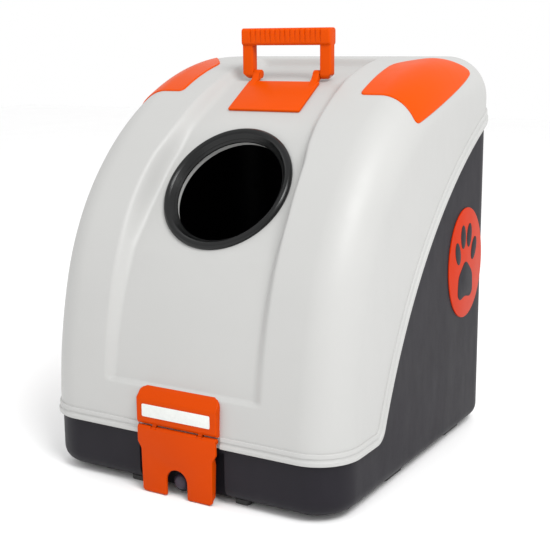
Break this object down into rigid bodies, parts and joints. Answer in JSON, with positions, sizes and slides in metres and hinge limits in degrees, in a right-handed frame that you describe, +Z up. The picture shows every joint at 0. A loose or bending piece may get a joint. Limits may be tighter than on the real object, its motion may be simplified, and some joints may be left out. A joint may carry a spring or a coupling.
{
  "type": "hooded pet box with carry handle",
  "caption": "Hooded pet litter box or carrier: dark tub, hinged white hood with a round entry in a sloping channel, folding handle, front latch and side badges.",
  "frame": {"origin": "on the floor, under the middle of the whole box (centre of the bounding box in X and Y, floor in Z)", "axes": "+X to the right seen from the front, +Y to the back, +Z up; the entry hole, the latch and the handle face -Y"},
  "size_m": [0.426, 0.4934, 0.547],
  "materials": {
    "hood_plastic": "satin gloss",
    "tub_plastic": "fine texture",
    "orange_plastic": "satin gloss",
    "badge_orange": "printed film",
    "ring_dark": "satin",
    "button_dark": "satin",
    "foot_rubber": "matte",
    "steel": "plain",
    "label_film": "printed film"
  },
  "bodies": {
    "tub": {"tub_shell": "tub_plastic", "feet": "foot_rubber", "badge_right": "badge_orange", "badge_left": "badge_orange", "hinge_tub_knuckles": "tub_plastic", "hinge_pins": "steel", "latch_strike": "tub_plastic", "lock_housing": "tub_plastic", "button_spring": "steel"},
    "hood": {"hood_shell": "hood_plastic", "hinge_hood_knuckles": "hood_plastic", "entry_ring": "ring_dark", "corner_insert_right": "orange_plastic", "corner_insert_left": "orange_plastic", "handle_plate": "orange_plastic", "handle_plate_screws": "steel", "handle_pins": "steel", "latch_bracket": "orange_plastic", "latch_bracket_screws": "steel", "latch_label": "label_film", "latch_pin": "steel"},
    "handle": {"handle_bail": "orange_plastic"},
    "lever": {"latch_lever": "orange_plastic"},
    "button": {"lock_button": "button_dark"}
  },
  "joints": [
    {"name": "hood_hinge", "type": "hinge", "parent": "tub", "child": "hood", "pos_m": [0, 0.2407, 0.4365], "axis": [-1, 0, 0], "range_deg": [0, 80]},
    {"name": "handle_fold", "type": "hinge", "parent": "hood", "child": "handle", "pos_m": [0, 0.0217, 0.4885], "axis": [-1, 0, 0], "range_deg": [0, 70]},
    {"name": "lever_swing", "type": "hinge", "parent": "hood", "child": "lever", "pos_m": [0, -0.2427, 0.08], "axis": [-1, 0, 0], "range_deg": [0, 100]},
    {"name": "button_push", "type": "slide", "parent": "tub", "child": "button", "axis": [0, 1, 0], "range_m": [0, 0.003], "stiffness_N_per_m": 400, "springref_m": -0.002, "deforming": ["button_spring"]}
  ]
}
